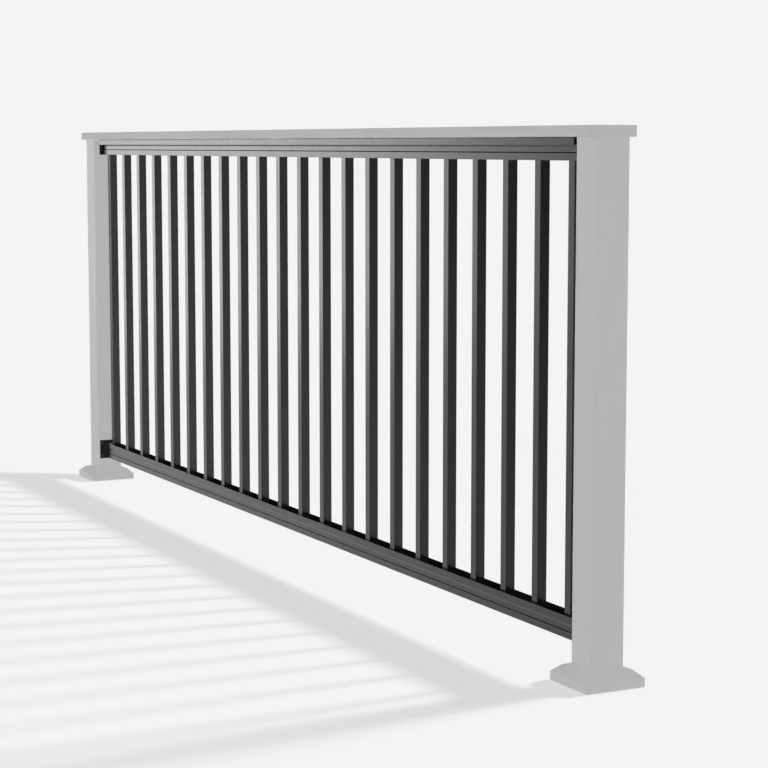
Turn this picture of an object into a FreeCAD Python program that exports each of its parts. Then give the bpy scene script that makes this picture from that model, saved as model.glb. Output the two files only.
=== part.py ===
import FreeCAD, Part
import os
from FreeCAD import Vector

# Posts: square aluminium tubes, one at each end of the section
post_width = 63.5
post_wall = 2.5
post_corner = 2.0
clear_span = 2438.4
post_pitch = clear_span + post_width

# Bevelled skirt that slides down each post and hides the base plate
skirt_width = 116.0
skirt_wall = 2.5
skirt_side_height = 15.4
skirt_bevel_share = 0.54
skirt_bevel_rise = 12.2
skirt_height = 31.75
skirt_lip = 1.2
skirt_corner = 0.4
skirt_clearance = 0.25

# Base plate welded under each post, inside the skirt, with four bolt holes
plate_gap = 4.7
plate_thickness = 9.5
plate_corner = 6.0
bolt_edge = 12.7
bolt_hole = 10.5
plate_width = skirt_width - 2.0 * (skirt_wall + plate_gap)
bolt_spacing = plate_width - 2.0 * bolt_edge

# Rail extrusion, the same bar at top and bottom
rail_width = 30.8
rail_height = 39.6
rail_wall = 1.8
rail_edge = 0.4
rail_upper_band = 13.2
rail_taper_height = 3.4
rail_taper_depth = 0.8
rail_groove_drop = 26.3
rail_groove_width = 2.0
rail_groove_depth = 1.7
bottom_rail_lift = 62.3
post_top = 919.2
rail_end_clearance = 0.3

# Hollow wings along both sides of the top rail, which carry the board and stop short of the posts
wing_width = 57.15
wing_end_gap = 15.3

# Rails, balusters and brackets stand this far behind the middle of the posts
infill_setback = 1.0

# Square balusters seated in punched holes in both rails
baluster_count = 22
baluster_width = 19.05
baluster_wall = 1.3
baluster_corner = 0.5
baluster_to_post = 51.8
baluster_clearance = 0.25
baluster_end_clearance = 0.3

# Flat board lying over both posts and the top rail
board_width = 88.9
board_thickness = 19.05
board_edge = 1.5

# Brackets that hold the rail ends to the posts
bracket_plate = 3.0
bracket_sheet = 1.6
bracket_reach = 24.5
bracket_clearance = 0.25
bottom_plate_width = 57.0
bottom_plate_over = 5.8
bottom_plate_under = 4.3
bracket_hole = 5.0
bracket_hole_y = 23.0
bracket_hole_inset = 7.0

# Sizes that follow from the ones above
post_half = post_width / 2.0
left_face = post_half
right_face = post_half + clear_span
middle = post_pitch / 2.0
top_rail_base = post_top - rail_height
rail_half = rail_width / 2.0
rail_low_half = rail_half - rail_taper_depth
rail_band_base = rail_height - rail_upper_band
rail_web_drop = rail_groove_drop - rail_wall / 2.0
rail_start = left_face + bracket_plate + rail_end_clearance
rail_end = right_face - bracket_plate - rail_end_clearance
wing_half = wing_width / 2.0
wing_start = left_face + wing_end_gap
wing_end = right_face - wing_end_gap
first_baluster = left_face + baluster_to_post
baluster_pitch = (clear_span - 2.0 * baluster_to_post) / (baluster_count - 1)
baluster_x = [first_baluster + baluster_pitch * i for i in range(baluster_count)]
baluster_foot = bottom_rail_lift + rail_height - rail_web_drop
baluster_head = post_top - rail_web_drop - rail_wall - baluster_end_clearance


def box(x0, x1, y0, y1, z0, z1):
    return Part.makeBox(x1 - x0, y1 - y0, z1 - z0, Vector(x0, y0, z0))


def moved(solid, x=0.0, y=0.0, z=0.0):
    copy = solid.copy()
    copy.translate(Vector(x, y, z))
    return copy


def upright_edges(solid):
    edges = []
    for edge in solid.Edges:
        span = edge.BoundBox
        if span.XLength < 1e-6 and span.YLength < 1e-6:
            edges.append(edge)
    return edges


def rounded_block(width, corner, z0, z1):
    half = width / 2.0
    solid = box(-half, half, -half, half, z0, z1)
    return solid.makeFillet(corner, upright_edges(solid))


def square_tube(width, wall, corner, z0, z1):
    outside = rounded_block(width, corner, z0, z1)
    half = width / 2.0 - wall
    return outside.cut(box(-half, half, -half, half, z0, z1))


# A square block whose four sides all follow the same outline of half widths and heights
def bevelled_block(outline):
    reach = max(half for half, z in outline)
    right = [Vector(half, -reach, z) for half, z in outline]
    left = [Vector(-half, -reach, z) for half, z in reversed(outline)]
    points = right + left
    face = Part.Face(Part.makePolygon(points + [points[0]]))
    ridge = face.extrude(Vector(0.0, 2.0 * reach, 0.0))
    crossing = ridge.copy()
    crossing.rotate(Vector(0.0, 0.0, 0.0), Vector(0.0, 0.0, 1.0), 90.0)
    return ridge.common(crossing)


def hip_edges(solid):
    edges = []
    for edge in solid.Edges:
        if edge.BoundBox.ZLength > 1.0:
            edges.append(edge)
    return edges


# The base plate carries the post and takes four bolts at its corners
def base_plate():
    plate = rounded_block(plate_width, plate_corner, 0.0, plate_thickness)
    reach = bolt_spacing / 2.0
    for x in (-reach, reach):
        for y in (-reach, reach):
            drill = Part.makeCylinder(bolt_hole / 2.0, plate_thickness, Vector(x, y, 0.0))
            plate = plate.cut(drill)
    return plate


# The skirt is a hollow shell: upright side, bevel, shallow shoulder, thin lip at the post
def post_skirt():
    opening = post_half + skirt_clearance
    half = skirt_width / 2.0
    shoulder = half - skirt_bevel_share * (half - opening)
    break_height = skirt_side_height + skirt_bevel_rise
    outside = bevelled_block([
        (half, 0.0),
        (half, skirt_side_height),
        (shoulder, break_height),
        (opening + skirt_lip, skirt_height),
    ])
    outside = outside.makeChamfer(skirt_corner, hip_edges(outside))
    inner_half = half - skirt_wall
    inside = bevelled_block([
        (inner_half, 0.0),
        (inner_half, skirt_side_height - skirt_wall / 2.0),
        (shoulder - skirt_wall / 2.0, break_height - skirt_wall),
        (opening, skirt_height - skirt_wall),
    ])
    hole = box(-opening, opening, -opening, opening, 0.0, skirt_height)
    return outside.cut(inside).cut(hole)


# Rail section in the YZ plane, measured from its underside, swept along X: the upper band stands proud,
# tapers in to the lower band, and a V groove runs along the lower band at the height of the inner web
def rail_section():
    groove = rail_height - rail_groove_drop
    reach = rail_groove_width / 2.0
    side = [
        (rail_half, rail_height),
        (rail_half, rail_band_base),
        (rail_low_half, rail_band_base - rail_taper_height),
        (rail_low_half, groove + reach),
        (rail_low_half - rail_groove_depth, groove),
        (rail_low_half, groove - reach),
        (rail_low_half, 0.0),
    ]
    outline = side + [(-y, z) for y, z in reversed(side)]
    points = [Vector(rail_start, y, z) for y, z in outline]
    return Part.Face(Part.makePolygon(points + [points[0]]))


def rail_corner_edges(solid):
    edges = []
    for edge in solid.Edges:
        span = edge.BoundBox
        at_end = span.ZMax < 1e-6 or span.ZMin > rail_height - 1e-6
        if at_end and span.XLength > rail_height:
            edges.append(edge)
    return edges


def rail_bar():
    return rail_section().extrude(Vector(rail_end - rail_start, 0.0, 0.0))


# Round the corners, then open the two chambers on either side of the inner web
def hollowed(solid):
    solid = solid.makeFillet(rail_edge, rail_corner_edges(solid))
    web_top = rail_height - rail_web_drop
    web_low = web_top - rail_wall
    chamber = rail_low_half - rail_wall
    upper = box(rail_start, rail_end, -chamber, chamber, web_top, rail_height - rail_wall)
    lower = box(rail_start, rail_end, -chamber, chamber, rail_wall, web_low)
    return solid.cut(upper).cut(lower)


def punched(solid, low, high):
    reach = baluster_width / 2.0 + baluster_clearance
    for x in baluster_x:
        solid = solid.cut(box(x - reach, x + reach, -reach, reach, low, high))
    return solid


# The top rail is the bar with a hollow wing on each side of its upper band, punched from below
def top_rail():
    wings = box(wing_start, wing_end, -wing_half, wing_half, rail_band_base, rail_height)
    solid = hollowed(rail_bar().fuse(wings).removeSplitter())
    outer = wing_half - rail_wall
    for y0, y1 in ((-outer, -rail_half), (rail_half, outer)):
        low = rail_band_base + rail_wall
        solid = solid.cut(box(wing_start, wing_end, y0, y1, low, rail_height - rail_wall))
    return moved(punched(solid, 0.0, rail_wall), z=top_rail_base)


# The bottom rail is the plain bar, punched from above
def bottom_rail():
    solid = punched(hollowed(rail_bar()), rail_height - rail_wall, rail_height)
    return moved(solid, z=bottom_rail_lift)


def baluster(x):
    return moved(square_tube(baluster_width, baluster_wall, baluster_corner, baluster_foot, baluster_head), x=x)


def cap_board():
    half = board_width / 2.0
    start = -post_half
    end = post_pitch + post_half
    solid = box(start, end, -half, half, post_top, post_top + board_thickness)
    long_edges = [edge for edge in solid.Edges if edge.BoundBox.XLength > 1.0]
    return solid.makeFillet(board_edge, long_edges)


# A cheek on each side of the rail end
def with_cheeks(plate, low, high):
    inner = rail_half + bracket_clearance
    outer = inner + bracket_sheet
    reach = left_face + bracket_reach
    for y0, y1 in ((-outer, -inner), (inner, outer)):
        plate = plate.fuse(box(left_face, reach, y0, y1, low, high))
    return plate.removeSplitter()


# Top bracket: a plate as wide as its cheeks, which end under the wings
def top_bracket():
    outer = rail_half + bracket_clearance + bracket_sheet
    plate = box(left_face, left_face + bracket_plate, -outer, outer, top_rail_base, post_top)
    return with_cheeks(plate, top_rail_base, top_rail_base + rail_band_base - bracket_clearance)


# Bottom bracket: a wide screw plate with two cheeks as high as the rail
def bottom_bracket():
    low = bottom_rail_lift
    high = bottom_rail_lift + rail_height
    half = bottom_plate_width / 2.0
    foot = low - bottom_plate_under
    head = high + bottom_plate_over
    plate = box(left_face, left_face + bracket_plate, -half, half, foot, head)
    solid = with_cheeks(plate, low, high)
    for y in (-bracket_hole_y, bracket_hole_y):
        for z in (foot + bracket_hole_inset, head - bracket_hole_inset):
            seat = Vector(left_face, y, z)
            drill = Part.makeCylinder(bracket_hole / 2.0, bracket_plate, seat, Vector(1.0, 0.0, 0.0))
            solid = solid.cut(drill)
    return solid


def save(name, solid):
    solid.exportStep("parts/" + name + ".step")


def save_infill(name, solid):
    save(name, moved(solid, y=infill_setback))


def turned(solid):
    copy = solid.copy()
    copy.rotate(Vector(middle, 0.0, 0.0), Vector(0.0, 0.0, 1.0), 180.0)
    return copy


os.makedirs("parts", exist_ok=True)

post = square_tube(post_width, post_wall, post_corner, plate_thickness, post_top)
skirt = post_skirt()
plate = base_plate()
for side, x in (("left", 0.0), ("right", post_pitch)):
    save(side + "_post", moved(post, x=x))
    save(side + "_post_skirt", moved(skirt, x=x))
    save(side + "_base_plate", moved(plate, x=x))

save("cap_board", cap_board())
save_infill("top_rail", top_rail())
save_infill("bottom_rail", bottom_rail())

for number, x in enumerate(baluster_x, 1):
    save_infill("baluster_%02d" % number, baluster(x))

for level, bracket in (("top", top_bracket()), ("bottom", bottom_bracket())):
    save_infill(level + "_left_bracket", bracket)
    save_infill(level + "_right_bracket", turned(bracket))
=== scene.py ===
import math

import bpy
from mathutils import Matrix, Vector


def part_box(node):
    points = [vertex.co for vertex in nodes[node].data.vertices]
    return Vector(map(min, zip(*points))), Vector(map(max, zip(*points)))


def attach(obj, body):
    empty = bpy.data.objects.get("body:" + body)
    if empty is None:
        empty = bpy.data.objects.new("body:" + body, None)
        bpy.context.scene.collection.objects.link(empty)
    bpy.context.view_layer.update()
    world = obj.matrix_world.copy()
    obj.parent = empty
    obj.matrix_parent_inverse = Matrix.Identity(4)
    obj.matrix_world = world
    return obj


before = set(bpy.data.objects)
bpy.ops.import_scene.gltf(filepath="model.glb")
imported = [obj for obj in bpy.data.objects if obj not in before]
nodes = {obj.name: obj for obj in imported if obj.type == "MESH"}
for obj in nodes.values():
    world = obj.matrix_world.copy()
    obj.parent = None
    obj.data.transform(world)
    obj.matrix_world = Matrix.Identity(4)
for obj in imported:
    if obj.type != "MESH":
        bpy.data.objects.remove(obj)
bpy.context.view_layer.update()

# Pieces that share a finish or a lamp
POSTS = ("left_post", "right_post")
SKIRTS = ("left_post_skirt", "right_post_skirt")
BASE_PLATES = ("left_base_plate", "right_base_plate")
TOP_BRACKETS = ("top_left_bracket", "top_right_bracket")
BOTTOM_BRACKETS = ("bottom_left_bracket", "bottom_right_bracket")
BALUSTERS = tuple(name for name in sorted(nodes) if name.startswith("baluster_"))

# Camera: its place in metres, its turn from the railing's line and tip downwards in degrees, its lens in mm
CAMERA_PLACE = (5.47004, -1.89361, 0.90628)
CAMERA_YAW = 26.6576
CAMERA_PITCH = 6.4575
CAMERA_LENS = 99.136
CAMERA_SENSOR = 36.0
CAMERA_REACH = 1000.0

# Floor: as bright as the background where it is lit, and darker in the railing's shadow. Most of its
# brightness is its own and shows to the camera only
PALE_GROUND = 0.905
SHADED_GROUND = 0.693
FLOOR_COLOUR = 0.25
FLOOR_SIZE = 600.0
FLOOR_DROP = -0.0002

# Light on the railing: a little comes evenly from all round, and the rest from two wide fills that cast no
# shadow. The brackets below the top rail's wings get a share of the fills, and the left post gets a spot lamp
EVEN_LIGHT = 0.05
FILL_LIGHTS = {
    "front_fill": ((0.0, -1.0, 0.0), 0.918),
    "back_fill": ((0.0, 1.0, 0.0), 0.908),
}
WING_SHADE = 0.35
GLOW_PLACE = (-0.45, -1.1, 1.0)
GLOW_AIM = (0.0, 0.0, 0.8)
GLOW_SPREAD = 60.0
GLOW_POWER = 6.5
GLOW_RADIUS = 0.17

# Three round lamps in a row behind the railing draw its shadow on the floor. The balusters don't block the
# outer two, which soften the posts' shadows and keep the balusters' own shadows faint
KEY_PLACE = (2.226, 3.413, 1.482)
KEY_RADIUS = 0.17
SIDE_KEY_STEP = 0.3
SIDE_KEY_SHARE = 0.18

# What the coated faces mirror. A turn goes round the upright axis, in radians from +X, and a rise is the Z of
# a ray of length 1. A pair of turns or rises says where a change starts and where it ends
PALE_LEVEL = 0.97
FRONT_SHARE = 0.78
FRONT_TURN = (-2.7, -2.58)
BACK_GAIN = 1.75
BACK_TURN = (-0.3, 0.2)
HORIZON = (0.03, 0.09)
HORIZON_DROP = 0.14
HORIZON_DROP_TURN = (2.2, 2.45)
DARK_CORNER_SHARE = 0.03
DARK_CORNER_TURN = (0.25, 0.56)
DARK_CORNER_SLANT = 0.59
DARK_CORNER_END = (0.78, 1.05)
SOFTBOX_LEVELS = (3.05, 4.05)
SOFTBOX_LEVEL_TURN = (-2.85, -2.7)
SOFTBOX_LEFT = (-2.88, -2.83)
SOFTBOX_RIGHT = (-2.66, -2.64)
SOFTBOX_FOOT = (-0.1, -0.088)
SOFTBOX_FOOT_LIFT = 0.06
SOFTBOX_FOOT_TURN = (-2.68, -2.58)
SOFTBOX_HEAD = (0.15, 0.19)

# Gloss of each finish, as its shader's specular level
GREY_COAT_GLOSS = 0.2
BOARD_GLOSS = 0.25
BRACKET_GLOSS = 0.03
RAIL_GLOSS = 0.5
# Gloss left in the top rail's painted shade, in the joints under the board and the wings
PAINTED_SHADE_GLOSS = 0.03

# The middle stretch of a noise's values, over which a finish changes
NOISE_SPAN = (0.3, 0.7)
WHITE = (1.0, 1.0, 1.0, 1.0)

# Edges painted lighter, partly as rubbed wear and partly as a painted highlight: how far the rounded normal
# agrees with the flat one, from fully rubbed to plain, and how much of a powder coat's roughness the rubbing
# takes off
EDGE_SAMPLES = 4
EDGE_AGREEMENT = (0.75, 0.97)
EDGE_SMOOTHING = 0.08

# The top rail's wings, down from its upper face, and the strips of painted shade in the joints above and
# below them, where the gloss is turned down
WING_HEIGHT = 0.0132
SEAM_HEIGHT = 0.001
WING_CORNER_HEIGHT = 0.0042
WING_CORNER_REACH = 0.75
PAINTED_SHADE_FADE = 0.0001

# Pan head screws that hold the bottom brackets' plates to the posts
BRACKET_PLATE = 0.003
SCREW_INSET = 0.007
SCREW_EDGE = 0.0055
HEAD_RADIUS = 0.0044
HEAD_HEIGHT = 0.0026
HEAD_ROUND = 0.0013
HEAD_ROUND_STEPS = 4
HEAD_SIDES = 24
RECESS_RADIUS = 0.0021
RECESS_DEPTH = 0.0016
RECESS_LOBES = 6
RECESS_VALLEY = 0.72
SHANK_RADIUS = 0.0022
SHANK_LENGTH = 0.0026
SMOOTH_ANGLE = 35.0

# How closely a face's normal follows X, and how far off a point may be, when parts of a screw are picked
ALONG_X = 0.9999
RIM_SLACK = 1.05
POINT_SLACK = 1e-6

# A Mix node's sockets share their names, so they go by number
MIX_SHARE = 0
MIX_VALUES = (2, 3)
MIX_COLOURS = (6, 7)
MIX_VALUE_OUT = 0
MIX_COLOUR_OUT = 2


def new_finish(name):
    finish = bpy.data.materials.new(name)
    finish.use_nodes = True
    shader = finish.node_tree.nodes["Principled BSDF"]
    place = finish.node_tree.nodes.new("ShaderNodeTexCoord")
    return finish, finish.node_tree, shader, place.outputs["Object"]


def add_noise(tree, place, scale, detail=2.0, roughness=0.5, stretch=None):
    noise = tree.nodes.new("ShaderNodeTexNoise")
    noise.inputs["Scale"].default_value = scale
    noise.inputs["Detail"].default_value = detail
    noise.inputs["Roughness"].default_value = roughness
    if stretch is None:
        tree.links.new(place, noise.inputs["Vector"])
    else:
        mapping = tree.nodes.new("ShaderNodeMapping")
        mapping.inputs["Scale"].default_value = stretch
        tree.links.new(place, mapping.inputs["Vector"])
        tree.links.new(mapping.outputs["Vector"], noise.inputs["Vector"])
    return noise.outputs["Fac"]


def add_math(tree, operation, first, second):
    node = tree.nodes.new("ShaderNodeMath")
    node.operation = operation
    for socket, value in zip(node.inputs, (first, second)):
        if isinstance(value, float):
            socket.default_value = value
        else:
            tree.links.new(value, socket)
    return node.outputs[0]


# From one number to another while the value crosses a span
def add_range(tree, value, start, end, over=NOISE_SPAN):
    span = tree.nodes.new("ShaderNodeMapRange")
    span.inputs["From Min"].default_value = over[0]
    span.inputs["From Max"].default_value = over[1]
    span.inputs["To Min"].default_value = start
    span.inputs["To Max"].default_value = end
    tree.links.new(value, span.inputs["Value"])
    return span.outputs["Result"]


def add_fade_in(tree, value, over=NOISE_SPAN):
    return add_range(tree, value, 0.0, 1.0, over)


def add_fade_out(tree, value, over):
    return add_range(tree, value, 1.0, 0.0, over)


def grey(level):
    return (level, level, level)


# From one colour, or a tint that is already mixed, towards another by the given share of the value
def add_tint(tree, value, start, end, share=1.0):
    mix = tree.nodes.new("ShaderNodeMix")
    mix.data_type = "RGBA"
    first, second = (mix.inputs[number] for number in MIX_COLOURS)
    if isinstance(start, tuple):
        first.default_value = (*start, 1.0)
    else:
        tree.links.new(start, first)
    second.default_value = (*end, 1.0)
    if share < 1.0:
        value = add_math(tree, "MULTIPLY", value, share)
    tree.links.new(value, mix.inputs[MIX_SHARE])
    return mix.outputs[MIX_COLOUR_OUT]


def add_bump(tree, height, strength, depth):
    bump = tree.nodes.new("ShaderNodeBump")
    bump.inputs["Strength"].default_value = strength
    bump.inputs["Distance"].default_value = depth
    tree.links.new(height, bump.inputs["Height"])
    return bump.outputs["Normal"]


# Where a face turns into the next one within the given reach, broken up a little along the edge. The finishes
# paint it lighter, partly as rubbed wear and partly as a painted highlight
def add_edge_rub_and_highlight(tree, place, reach):
    turned = tree.nodes.new("ShaderNodeBevel")
    turned.samples = EDGE_SAMPLES
    turned.inputs["Radius"].default_value = reach
    flat = tree.nodes.new("ShaderNodeNewGeometry")
    agree = tree.nodes.new("ShaderNodeVectorMath")
    agree.operation = "DOT_PRODUCT"
    tree.links.new(turned.outputs["Normal"], agree.inputs[0])
    tree.links.new(flat.outputs["Normal"], agree.inputs[1])
    edge = add_fade_out(tree, agree.outputs["Value"], EDGE_AGREEMENT)
    patch = add_range(tree, add_noise(tree, place, scale=35.0, detail=3.0), start=0.35, end=1.0)
    return add_math(tree, "MULTIPLY", edge, patch)


# Powder coat on the posts and skirts: soft clouds, a fine grain, orange peel, and edges painted lighter,
# partly as rubbed wear and partly as a painted highlight
def light_grey_powder_coat():
    finish, tree, shader, place = new_finish("light_grey_powder_coat")
    cloud = add_noise(tree, place, scale=7.0, detail=3.0)
    grain = add_noise(tree, place, scale=1600.0)
    body = add_tint(tree, add_fade_in(tree, cloud), start=grey(0.458), end=grey(0.474))
    speck = add_tint(tree, add_fade_in(tree, grain), start=body, end=grey(0.496), share=0.5)
    # Edges painted lighter: partly rubbed wear, partly a painted highlight
    rub_and_highlight = add_edge_rub_and_highlight(tree, place, reach=0.0012)
    tint = add_tint(tree, rub_and_highlight, start=speck, end=grey(0.53), share=0.5)
    tree.links.new(tint, shader.inputs["Base Color"])
    sheen = add_noise(tree, place, scale=60.0, detail=3.0)
    worn_smooth = add_math(tree, "MULTIPLY", rub_and_highlight, -EDGE_SMOOTHING)
    rough = add_math(tree, "ADD", add_range(tree, sheen, start=0.5, end=0.6), worn_smooth)
    tree.links.new(rough, shader.inputs["Roughness"])
    shader.inputs["Specular IOR Level"].default_value = GREY_COAT_GLOSS
    peel = add_noise(tree, place, scale=900.0)
    tree.links.new(add_bump(tree, peel, strength=0.14, depth=0.0002), shader.inputs["Normal"])
    return finish


# Composite board: broad and fine streaks along its length, pressed in as a brushed grain
def cap_board_grain():
    finish, tree, shader, place = new_finish("cap_board_grain")
    streak = add_noise(tree, place, scale=60.0, detail=4.0, roughness=0.6, stretch=(0.05, 1.0, 1.0))
    fibre = add_noise(tree, place, scale=520.0, detail=4.0, roughness=0.6, stretch=(0.02, 1.0, 1.0))
    body = add_tint(tree, add_fade_in(tree, streak), start=(0.42, 0.418, 0.417), end=(0.458, 0.456, 0.455))
    tint = add_tint(tree, add_fade_in(tree, fibre), start=body, end=(0.516, 0.514, 0.513), share=0.55)
    tree.links.new(tint, shader.inputs["Base Color"])
    tree.links.new(add_range(tree, fibre, start=0.58, end=0.72), shader.inputs["Roughness"])
    shader.inputs["Specular IOR Level"].default_value = BOARD_GLOSS
    tree.links.new(add_bump(tree, fibre, strength=0.3, depth=0.0003), shader.inputs["Normal"])
    return finish


# Painted shade on the top rail: the gloss is turned down in the joint under the board and in the corner under
# the wings, where these would shade it. The painted shade in the corner fades out towards the right end
def add_rail_painted_shade(tree, place):
    low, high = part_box("top_rail")
    split = tree.nodes.new("ShaderNodeSeparateXYZ")
    tree.links.new(place, split.inputs["Vector"])
    height = split.outputs["Z"]
    seam = high[2] - SEAM_HEIGHT
    painted_shade_under_board = add_fade_in(tree, height, (seam, seam + PAINTED_SHADE_FADE))
    wing_foot = high[2] - WING_HEIGHT
    corner = wing_foot - WING_CORNER_HEIGHT
    above_corner = add_fade_in(tree, height, (corner, wing_foot - PAINTED_SHADE_FADE))
    below_wing = add_fade_out(tree, height, (wing_foot, wing_foot + PAINTED_SHADE_FADE))
    shade_fading_rightward = add_fade_out(tree, split.outputs["X"], (low[0], WING_CORNER_REACH * high[0]))
    in_corner = add_math(tree, "MULTIPLY", above_corner, below_wing)
    painted_corner_shade = add_math(tree, "MULTIPLY", in_corner, shade_fading_rightward)
    return add_math(tree, "MAXIMUM", painted_shade_under_board, painted_corner_shade)


# Satin black on the rails and balusters: uneven gloss, orange peel, and edges painted a dark grey, partly as
# rubbed wear and partly as a painted highlight
def satin_black_coat(name, has_painted_shade=False):
    finish, tree, shader, place = new_finish(name)
    cloud = add_noise(tree, place, scale=9.0, detail=3.0)
    body = add_tint(tree, add_fade_in(tree, cloud), start=grey(0.003), end=(0.0042, 0.0042, 0.0041))
    # Edges painted a dark grey: partly rubbed wear, partly a painted highlight
    rub_and_highlight = add_edge_rub_and_highlight(tree, place, reach=0.0006)
    tint = add_tint(tree, rub_and_highlight, start=body, end=(0.018, 0.018, 0.0178), share=0.5)
    tree.links.new(tint, shader.inputs["Base Color"])
    sheen = add_noise(tree, place, scale=45.0, detail=4.0, roughness=0.6)
    tree.links.new(add_range(tree, sheen, start=0.175, end=0.215), shader.inputs["Roughness"])
    # On the top rail, painted shade: the gloss is turned down in the joints under the board and the wings
    if has_painted_shade:
        painted_shade = add_rail_painted_shade(tree, place)
        gloss = add_range(tree, painted_shade, start=RAIL_GLOSS, end=PAINTED_SHADE_GLOSS, over=(0.0, 1.0))
        tree.links.new(gloss, shader.inputs["Specular IOR Level"])
    peel = add_noise(tree, place, scale=700.0)
    tree.links.new(add_bump(tree, peel, strength=0.05, depth=0.0001), shader.inputs["Normal"])
    return finish


# Matte black on the brackets: a dull, slightly gritty coat
def matte_black_bracket():
    finish, tree, shader, place = new_finish("matte_black_bracket")
    cloud = add_noise(tree, place, scale=30.0, detail=3.0)
    tint = add_tint(tree, add_fade_in(tree, cloud), start=grey(0.011), end=(0.014, 0.014, 0.0138))
    tree.links.new(tint, shader.inputs["Base Color"])
    shader.inputs["Specular IOR Level"].default_value = BRACKET_GLOSS
    tree.links.new(add_range(tree, cloud, start=0.6, end=0.75), shader.inputs["Roughness"])
    grit = add_noise(tree, place, scale=1500.0)
    tree.links.new(add_bump(tree, grit, strength=0.2, depth=0.0001), shader.inputs["Normal"])
    return finish


# Black zinc on the screws, smoother than the brackets so that their rounded heads show
def black_zinc_screw():
    finish, tree, shader, place = new_finish("black_zinc_screw")
    cloud = add_noise(tree, place, scale=900.0, detail=3.0)
    tint = add_tint(tree, add_fade_in(tree, cloud), start=(0.011, 0.011, 0.0115), end=(0.016, 0.016, 0.0165))
    tree.links.new(tint, shader.inputs["Base Color"])
    tree.links.new(add_range(tree, cloud, start=0.28, end=0.4), shader.inputs["Roughness"])
    return finish


# Grey coat on the base plates, a little darker and more clouded than the posts
def grey_plate_coat():
    finish, tree, shader, place = new_finish("grey_plate_coat")
    cloud = add_noise(tree, place, scale=25.0, detail=4.0)
    tint = add_tint(tree, add_fade_in(tree, cloud), start=grey(0.36), end=grey(0.42))
    tree.links.new(tint, shader.inputs["Base Color"])
    tree.links.new(add_range(tree, cloud, start=0.45, end=0.6), shader.inputs["Roughness"])
    peel = add_noise(tree, place, scale=800.0)
    tree.links.new(add_bump(tree, peel, strength=0.15, depth=0.0002), shader.inputs["Normal"])
    return finish


def dress(names, finish):
    for name in names:
        slots = nodes[name].data.materials
        slots.clear()
        slots.append(finish)


dress(POSTS + SKIRTS, light_grey_powder_coat())
dress(("bottom_rail",) + BALUSTERS, satin_black_coat("satin_black_coat"))
dress(TOP_BRACKETS + BOTTOM_BRACKETS, matte_black_bracket())
dress(BASE_PLATES, grey_plate_coat())
dress(("cap_board",), cap_board_grain())
dress(("top_rail",), satin_black_coat("satin_black_top_rail", has_painted_shade=True))


def pick_faces(piece, wanted):
    bpy.ops.mesh.select_mode(type="FACE")
    bpy.ops.mesh.select_all(action="DESELECT")
    bpy.ops.object.mode_set(mode="OBJECT")
    for face in piece.data.polygons:
        face.select = wanted(face)
    bpy.ops.object.mode_set(mode="EDIT")


def pick_points(piece, wanted):
    bpy.ops.mesh.select_mode(type="VERT")
    bpy.ops.mesh.select_all(action="DESELECT")
    bpy.ops.object.mode_set(mode="OBJECT")
    for point in piece.data.vertices:
        point.select = wanted(point.co)
    bpy.ops.object.mode_set(mode="EDIT")


# The recess is a star: round its rim, the first half of each lobe's points lie in a valley
def in_star_valley(at):
    if abs(at.x - HEAD_HEIGHT) > POINT_SLACK:
        return False
    if math.hypot(at.y, at.z) > RECESS_RADIUS * RIM_SLACK:
        return False
    step = round(math.atan2(at.z, at.y) * HEAD_SIDES / math.tau)
    lobe_points = HEAD_SIDES // RECESS_LOBES
    return step % lobe_points < lobe_points // 2


# One screw at the origin: its head stands on the plate's face and points along +X, its shank is in the hole
def turn_screw():
    bpy.ops.object.select_all(action="DESELECT")
    bpy.ops.mesh.primitive_cylinder_add(
        vertices=HEAD_SIDES, radius=HEAD_RADIUS, depth=HEAD_HEIGHT,
        location=(HEAD_HEIGHT / 2.0, 0.0, 0.0), rotation=(0.0, math.pi / 2.0, 0.0))
    screw = bpy.context.object
    screw.name = "bracket_screw"
    bpy.ops.object.transform_apply(location=True, rotation=True, scale=True)
    bpy.ops.object.mode_set(mode="EDIT")
    pick_faces(screw, lambda face: face.normal.x > ALONG_X)
    bpy.ops.mesh.bevel(offset=HEAD_ROUND, segments=HEAD_ROUND_STEPS, affect="EDGES")
    pick_faces(screw, lambda face: face.normal.x > ALONG_X)
    bpy.ops.mesh.inset(thickness=HEAD_RADIUS - HEAD_ROUND - RECESS_RADIUS)
    pick_points(screw, in_star_valley)
    bpy.ops.transform.resize(
        value=(1.0, RECESS_VALLEY, RECESS_VALLEY), center_override=(HEAD_HEIGHT, 0.0, 0.0))
    pick_faces(screw, lambda face: face.normal.x > ALONG_X and len(face.vertices) == HEAD_SIDES)
    bpy.ops.mesh.extrude_region_move(TRANSFORM_OT_translate={"value": (-RECESS_DEPTH, 0.0, 0.0)})
    pick_faces(screw, lambda face: face.normal.x < -ALONG_X)
    bpy.ops.mesh.inset(thickness=HEAD_RADIUS - SHANK_RADIUS)
    bpy.ops.mesh.extrude_region_move(TRANSFORM_OT_translate={"value": (-SHANK_LENGTH, 0.0, 0.0)})
    bpy.ops.object.mode_set(mode="OBJECT")
    bpy.ops.object.shade_smooth_by_angle(angle=math.radians(SMOOTH_ANGLE))
    return screw


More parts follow.
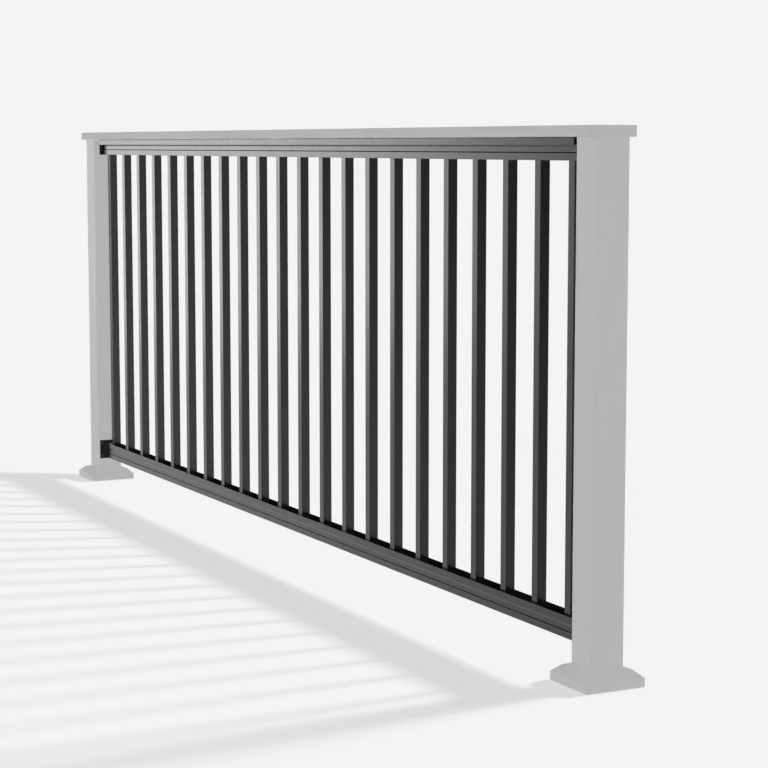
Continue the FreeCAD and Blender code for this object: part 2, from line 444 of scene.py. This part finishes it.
# Four copies of the screw in a bottom bracket's plate, which faces along +X or -X
def drive_screws(name, facing, pattern):
    low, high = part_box(name)
    if facing > 0.0:
        face = low[0] + BRACKET_PLATE
        turn = 0.0
    else:
        face = high[0] - BRACKET_PLATE
        turn = math.pi
    driven = []
    for row, z in (("lower", low[2] + SCREW_INSET), ("upper", high[2] - SCREW_INSET)):
        for side, y in (("front", low[1] + SCREW_EDGE), ("back", high[1] - SCREW_EDGE)):
            screw = pattern.copy()
            screw.data = pattern.data.copy()
            screw.name = "_".join((name, row, side, "screw"))
            bpy.context.scene.collection.objects.link(screw)
            screw.location = (face, y, z)
            screw.rotation_euler = (0.0, 0.0, turn)
            bpy.ops.object.select_all(action="DESELECT")
            screw.select_set(True)
            bpy.context.view_layer.objects.active = screw
            bpy.ops.object.transform_apply(location=True, rotation=True, scale=True)
            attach(screw, "root")
            driven.append(screw)
    return driven


pattern_screw = turn_screw()
pattern_screw.data.materials.append(black_zinc_screw())
screws = drive_screws("bottom_left_bracket", 1.0, pattern_screw)
screws += drive_screws("bottom_right_bracket", -1.0, pattern_screw)
bpy.data.objects.remove(pattern_screw)


# Seen from below, the floor lets the undersides of the posts show
def open_from_below(tree, shader):
    clear = tree.nodes.new("ShaderNodeBsdfTransparent")
    side = tree.nodes.new("ShaderNodeNewGeometry")
    mix = tree.nodes.new("ShaderNodeMixShader")
    tree.links.new(side.outputs["Backfacing"], mix.inputs[0])
    tree.links.new(shader.outputs[0], mix.inputs[1])
    tree.links.new(clear.outputs[0], mix.inputs[2])
    tree.links.new(mix.outputs[0], tree.nodes["Material Output"].inputs["Surface"])


def lay_floor():
    bpy.ops.object.select_all(action="DESELECT")
    bpy.ops.mesh.primitive_plane_add(size=FLOOR_SIZE, location=(0.0, 0.0, FLOOR_DROP))
    floor = bpy.context.object
    floor.name = "pale_floor"
    finish, tree, shader = new_finish("pale_floor")[:3]
    shader.inputs["Base Color"].default_value = (*grey(FLOOR_COLOUR), 1.0)
    shader.inputs["Roughness"].default_value = 1.0
    shader.inputs["Specular IOR Level"].default_value = 0.0
    path = tree.nodes.new("ShaderNodeLightPath")
    own_level = SHADED_GROUND - FLOOR_COLOUR * EVEN_LIGHT
    own = add_math(tree, "MULTIPLY", path.outputs["Is Camera Ray"], own_level)
    shader.inputs["Emission Color"].default_value = WHITE
    tree.links.new(own, shader.inputs["Emission Strength"])
    open_from_below(tree, shader)
    floor.data.materials.append(finish)
    floor.visible_diffuse = False
    floor.visible_glossy = False
    return floor


# What the coated faces mirror: pale ground up to the horizon, which lies lower at the back left, a dim room
# above it, a dark corner behind the right post, and a tall softbox to the front left
def mirrored_room(tree):
    ray = tree.nodes.new("ShaderNodeTexCoord")
    split = tree.nodes.new("ShaderNodeSeparateXYZ")
    tree.links.new(ray.outputs["Generated"], split.inputs["Vector"])
    rise = split.outputs["Z"]
    turn = add_math(tree, "ARCTAN2", split.outputs["Y"], split.outputs["X"])

    front_ground = add_range(tree, turn, PALE_LEVEL, FRONT_SHARE * PALE_LEVEL, FRONT_TURN)
    back_gain = add_range(tree, turn, 1.0, BACK_GAIN, BACK_TURN)
    ground = add_math(tree, "MULTIPLY", front_ground, back_gain)
    drop = add_range(tree, turn, 0.0, HORIZON_DROP, HORIZON_DROP_TURN)
    below_horizon = add_fade_out(tree, add_math(tree, "ADD", rise, drop), HORIZON)
    slant = add_math(tree, "ADD", turn, add_math(tree, "MULTIPLY", rise, DARK_CORNER_SLANT))
    before_corner = add_range(tree, slant, 1.0, DARK_CORNER_SHARE, DARK_CORNER_TURN)
    past_corner = add_fade_in(tree, turn, DARK_CORNER_END)
    beside_corner = add_math(tree, "MAXIMUM", before_corner, past_corner)
    pale = add_math(tree, "MULTIPLY", add_math(tree, "MULTIPLY", ground, below_horizon), beside_corner)

    left_edge = add_fade_in(tree, turn, SOFTBOX_LEFT)
    right_edge = add_fade_out(tree, turn, SOFTBOX_RIGHT)
    foot_lift = add_range(tree, turn, 0.0, SOFTBOX_FOOT_LIFT, SOFTBOX_FOOT_TURN)
    low_edge = add_fade_in(tree, add_math(tree, "SUBTRACT", rise, foot_lift), SOFTBOX_FOOT)
    high_edge = add_fade_out(tree, rise, SOFTBOX_HEAD)
    across = add_math(tree, "MULTIPLY", left_edge, right_edge)
    upright = add_math(tree, "MULTIPLY", low_edge, high_edge)
    softbox = add_math(tree, "MULTIPLY", across, upright)
    level = add_range(tree, turn, *SOFTBOX_LEVELS, SOFTBOX_LEVEL_TURN)
    return add_math(tree, "MAXIMUM", pale, add_math(tree, "MULTIPLY", softbox, level))


# The world: even light on every surface, a pale background to the camera, the studio room in reflections
def light_the_room():
    world = bpy.data.worlds.new("studio_room")
    bpy.context.scene.world = world
    world.use_nodes = True
    tree = world.node_tree
    background = tree.nodes["Background"]
    path = tree.nodes.new("ShaderNodeLightPath")
    lit = tree.nodes.new("ShaderNodeMix")
    lit.inputs[MIX_VALUES[0]].default_value = EVEN_LIGHT
    tree.links.new(path.outputs["Is Glossy Ray"], lit.inputs[MIX_SHARE])
    tree.links.new(mirrored_room(tree), lit.inputs[MIX_VALUES[1]])
    shown = tree.nodes.new("ShaderNodeMix")
    shown.inputs[MIX_VALUES[1]].default_value = PALE_GROUND
    tree.links.new(path.outputs["Is Camera Ray"], shown.inputs[MIX_SHARE])
    tree.links.new(lit.outputs[MIX_VALUE_OUT], shown.inputs[MIX_VALUES[0]])
    tree.links.new(shown.outputs[MIX_VALUE_OUT], background.inputs["Strength"])
    background.inputs["Color"].default_value = WHITE


def gathered(name, pieces):
    group = bpy.data.collections.new(name)
    for piece in pieces:
        group.objects.link(piece)
    return group


def light_only(holder, lit_pieces):
    holder.visible_camera = False
    holder.visible_glossy = False
    bpy.context.scene.collection.objects.link(holder)
    holder.light_linking.receiver_collection = gathered("lit_by_" + holder.name, lit_pieces)


def shadow_only(holder, pieces):
    holder.light_linking.blocker_collection = gathered("shadow_of_" + holder.name, pieces)


# A round lamp low behind the railing. On a flat floor a lamp's light falls off with the distance cubed, so
# its strength grows in that way, and the floor has the same level from side to side
def hang_key(name, step, level, lit_pieces):
    lamp = bpy.data.lights.new(name, "POINT")
    lamp.shadow_soft_size = KEY_RADIUS
    lamp.energy = 1.0
    lamp.use_nodes = True
    tree = lamp.node_tree
    path = tree.nodes.new("ShaderNodeLightPath")
    distance_cubed = add_math(tree, "POWER", path.outputs["Ray Length"], 3.0)
    watts_for_white = 4.0 * math.pi * math.pi / KEY_PLACE[2]
    strength = add_math(tree, "MULTIPLY", distance_cubed, level * watts_for_white)
    tree.links.new(strength, tree.nodes["Emission"].inputs["Strength"])
    holder = bpy.data.objects.new(name, lamp)
    holder.location = Vector(KEY_PLACE) + Vector((step, 0.0, 0.0))
    light_only(holder, lit_pieces)
    return holder


# A fill as wide as the sky on one side, which lights the railing without a shadow
def hang_fill(name, side, level, lit_pieces):
    lamp = bpy.data.lights.new(name, "SUN")
    lamp.energy = level * math.pi
    lamp.angle = math.pi
    lamp.use_shadow = False
    lamp.cycles.use_multiple_importance_sampling = False
    holder = bpy.data.objects.new(name, lamp)
    holder.rotation_euler = Vector(side).to_track_quat("Z", "Y").to_euler()
    light_only(holder, lit_pieces)


# What spills from the softbox on to the upper part of the left post
def hang_glow(lit_pieces):
    lamp = bpy.data.lights.new("left_glow", "SPOT")
    lamp.energy = GLOW_POWER
    lamp.spot_size = math.radians(GLOW_SPREAD)
    lamp.spot_blend = 1.0
    lamp.shadow_soft_size = GLOW_RADIUS
    lamp.use_shadow = False
    lamp.cycles.use_multiple_importance_sampling = False
    holder = bpy.data.objects.new("left_glow", lamp)
    holder.location = GLOW_PLACE
    away = Vector(GLOW_PLACE) - Vector(GLOW_AIM)
    holder.rotation_euler = away.to_track_quat("Z", "Y").to_euler()
    light_only(holder, lit_pieces)


def stand_camera():
    camera = bpy.data.cameras.new("camera")
    camera.lens = CAMERA_LENS
    camera.sensor_width = CAMERA_SENSOR
    camera.clip_end = CAMERA_REACH
    holder = bpy.data.objects.new("camera", camera)
    yaw = math.radians(CAMERA_YAW)
    pitch = math.radians(CAMERA_PITCH)
    look = Vector((-math.cos(yaw) * math.cos(pitch), math.sin(yaw) * math.cos(pitch), -math.sin(pitch)))
    turned = look.to_track_quat("-Z", "Y").to_matrix().to_4x4()
    holder.matrix_world = Matrix.Translation(CAMERA_PLACE) @ turned
    bpy.context.scene.collection.objects.link(holder)
    bpy.context.scene.camera = holder


floor = lay_floor()
light_the_room()

# The fills cast no shadow, so the pale pieces throw no light back at each other or on to the floor
for name in POSTS + SKIRTS + BASE_PLATES + ("cap_board",):
    nodes[name].visible_diffuse = False

key_level = (PALE_GROUND - SHADED_GROUND) / FLOOR_COLOUR
all_but_balusters = [node for name, node in nodes.items() if name not in BALUSTERS]
hang_key("middle_key", 0.0, key_level * (1.0 - 2.0 * SIDE_KEY_SHARE), [floor])
for key_name, step in (("left_key", -SIDE_KEY_STEP), ("right_key", SIDE_KEY_STEP)):
    side_key = hang_key(key_name, step, key_level * SIDE_KEY_SHARE, [floor])
    shadow_only(side_key, all_but_balusters)

# The wings shade the top brackets, so these get a small share of the fills
shaded = [nodes[name] for name in TOP_BRACKETS]
filled = [node for name, node in nodes.items() if name not in TOP_BRACKETS] + screws
for fill_name, (side, level) in FILL_LIGHTS.items():
    hang_fill(fill_name, side, level, filled)
    hang_fill(fill_name + "_in_shade", side, level * WING_SHADE, shaded)
hang_glow([nodes["left_post"]])
stand_camera()
bpy.context.scene.view_settings.view_transform = "Standard"
